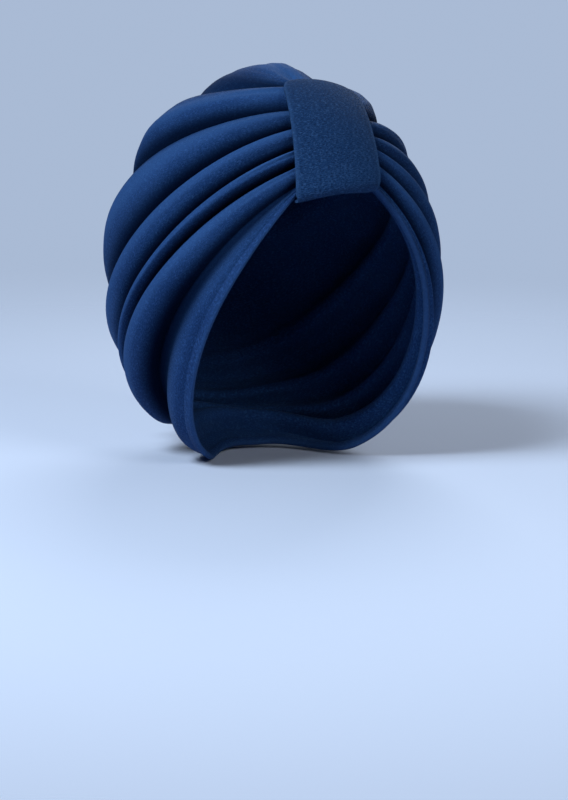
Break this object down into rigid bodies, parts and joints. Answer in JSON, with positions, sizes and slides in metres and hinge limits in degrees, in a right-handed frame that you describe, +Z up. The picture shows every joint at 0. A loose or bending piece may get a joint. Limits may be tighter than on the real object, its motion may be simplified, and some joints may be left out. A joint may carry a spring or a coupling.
{
  "type": "turban headwrap",
  "caption": "Pre-tied jersey turban headwrap with folds gathered under a wide band at the brow, and a bound opening.",
  "frame": {"origin": "top of the head that the wrap sits on, in the middle of the crown, just inside the cloth", "axes": "+Z up, the front with the band faces -Y, +X to the wearer's left"},
  "size_m": [0.1667, 0.1955, 0.2015],
  "materials": {
    "cap_jersey": "fine navy melange jersey, matt with a soft sheen on the folds",
    "band_jersey": "double layer of the same navy jersey, matt, with the knit showing",
    "binding_jersey": "folded strip of the same navy jersey, matt"
  },
  "bodies": {
    "root": {"turban_cloth": "cap_jersey", "front_band": "band_jersey", "hem_binding": "binding_jersey"}
  },
  "joints": []
}
